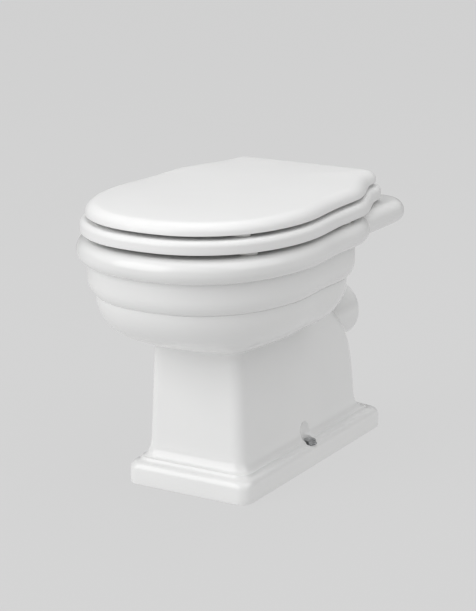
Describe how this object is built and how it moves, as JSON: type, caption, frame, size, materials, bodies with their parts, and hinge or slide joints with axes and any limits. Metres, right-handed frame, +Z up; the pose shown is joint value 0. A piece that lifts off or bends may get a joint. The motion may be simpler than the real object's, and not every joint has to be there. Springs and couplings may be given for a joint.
{
  "type": "toilet pan with seat and lid",
  "caption": "Traditional floor-standing toilet pan in white china with a moulded rim and plinth, a rear outlet, and a hinged white seat and lid.",
  "frame": {"origin": "on the floor, under the middle of the whole object's box", "axes": "+Z up, the front of the pan faces -Y, the outlet points along +Y, +X to the sitter's left when seated facing -Y"},
  "size_m": [0.3891, 0.632, 0.466],
  "materials": {
    "vitreous_china": "white fired glaze, high gloss",
    "seat_board": "white satin lacquer on a dense wood-fibre board",
    "chrome": "bright chrome plate",
    "stainless": "plain stainless fasteners",
    "white_buffer": "soft white moulded buffer",
    "white_nylon": "natural white nylon",
    "black_rubber": "dark moulded rubber"
  },
  "bodies": {
    "pan_body": {"pan": "vitreous_china", "floor_screws": "chrome", "floor_screw_sleeves": "white_nylon", "hinge_post_left": "chrome", "hinge_post_right": "chrome", "hinge_post_gaskets": "black_rubber", "hinge_studs": "stainless", "stud_rubber_washers": "black_rubber", "stud_nylon_washers": "white_nylon", "wing_nuts": "white_nylon", "hinge_rod": "chrome", "rod_end_caps": "chrome"},
    "seat_body": {"seat_ring": "seat_board", "seat_leaf_left": "chrome", "seat_leaf_right": "chrome", "seat_leaf_bushes": "white_nylon", "seat_leaf_screws": "stainless", "seat_front_buffers": "white_buffer", "seat_rear_buffers": "white_buffer", "seat_buffer_screws": "stainless"},
    "lid_body": {"lid": "seat_board", "lid_leaf_left": "chrome", "lid_leaf_right": "chrome", "lid_leaf_bushes": "white_nylon", "lid_leaf_screws": "stainless", "lid_buffers": "white_buffer", "lid_buffer_screws": "stainless"}
  },
  "joints": [
    {"name": "seat_hinge", "type": "hinge", "parent": "pan_body", "child": "seat_body", "pos_m": [0, 0.248, 0.44], "axis": [-1, 0, 0], "range_deg": [0, 92]},
    {"name": "lid_hinge", "type": "hinge", "parent": "seat_body", "child": "lid_body", "pos_m": [0, 0.248, 0.44], "axis": [-1, 0, 0], "range_deg": [0, 95]}
  ]
}
